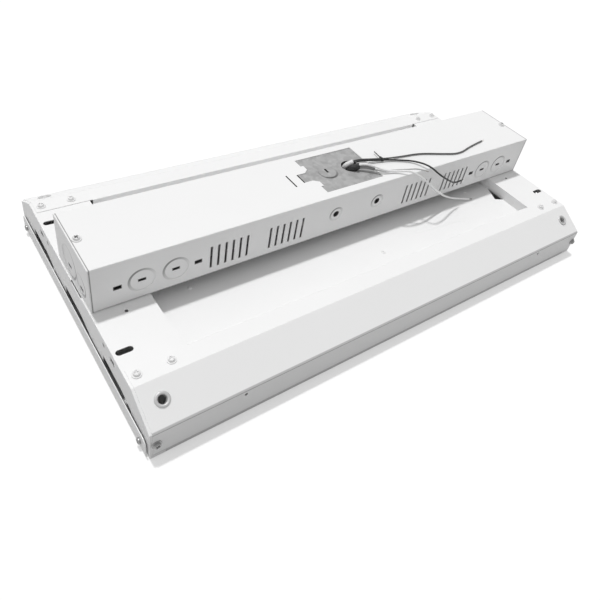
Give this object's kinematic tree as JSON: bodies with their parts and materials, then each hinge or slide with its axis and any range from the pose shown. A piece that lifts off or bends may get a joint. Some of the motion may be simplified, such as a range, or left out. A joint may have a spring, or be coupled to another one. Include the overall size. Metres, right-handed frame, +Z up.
{
  "type": "linear high bay light",
  "caption": "Low wide industrial LED ceiling light with folded white steel wings, slotted driver housing on top, frosted lens below and bare supply leads.",
  "frame": {"origin": "middle of the lens rim's lower edge, on the surface that the fixture stands on face down", "axes": "+X along the long axis, +Y across, away from the side that faces the viewer, +Z up to the housing"},
  "size_m": [0.6184, 0.3434, 0.1175],
  "materials": {
    "white_sheet": "white powder coat",
    "galvanised_sheet": "bare galvanised",
    "white_fastener": "painted",
    "zinc_fastener": "zinc plated",
    "frosted_lens": "frosted",
    "led_board": "solder mask",
    "led_phosphor": "phosphor",
    "driver_case": "satin",
    "black_insulation": "satin",
    "dark_grey_insulation": "satin",
    "white_insulation": "satin",
    "grey_insulation": "satin",
    "dark_sleeving": "matt"
  },
  "bodies": {
    "root": {"wing_front": "white_sheet", "wing_rear": "white_sheet", "bracket_left": "white_sheet", "bracket_right": "white_sheet", "lens_frame_left": "white_sheet", "lens_frame_right": "white_sheet", "lens_rail_front": "white_sheet", "lens_rail_rear": "white_sheet", "diffuser_lens": "frosted_lens", "centre_tray": "white_sheet", "led_board_1": "led_board", "led_board_2": "led_board", "led_board_3": "led_board", "led_board_4": "led_board", "led_packages": "led_phosphor", "housing_cover": "white_sheet", "housing_end_left": "white_sheet", "housing_end_right": "white_sheet", "housing_base": "galvanised_sheet", "access_plate": "galvanised_sheet", "driver_left": "driver_case", "driver_right": "driver_case", "wing_screws": "white_fastener", "skirt_screws": "zinc_fastener", "lens_frame_screws": "zinc_fastener", "cover_screws": "white_fastener", "driver_screws": "zinc_fastener", "housing_bolts": "zinc_fastener", "housing_nuts": "zinc_fastener", "tray_rivets": "white_fastener", "hook_eyelets": "zinc_fastener", "lead_black": "black_insulation", "lead_dark_grey": "dark_grey_insulation", "lead_white": "white_insulation", "lead_grey": "grey_insulation", "sleeve_pale": "white_insulation", "sleeve_dark": "dark_sleeving", "sleeve_thin": "dark_sleeving", "cable_tie": "dark_sleeving"}
  },
  "joints": []
}
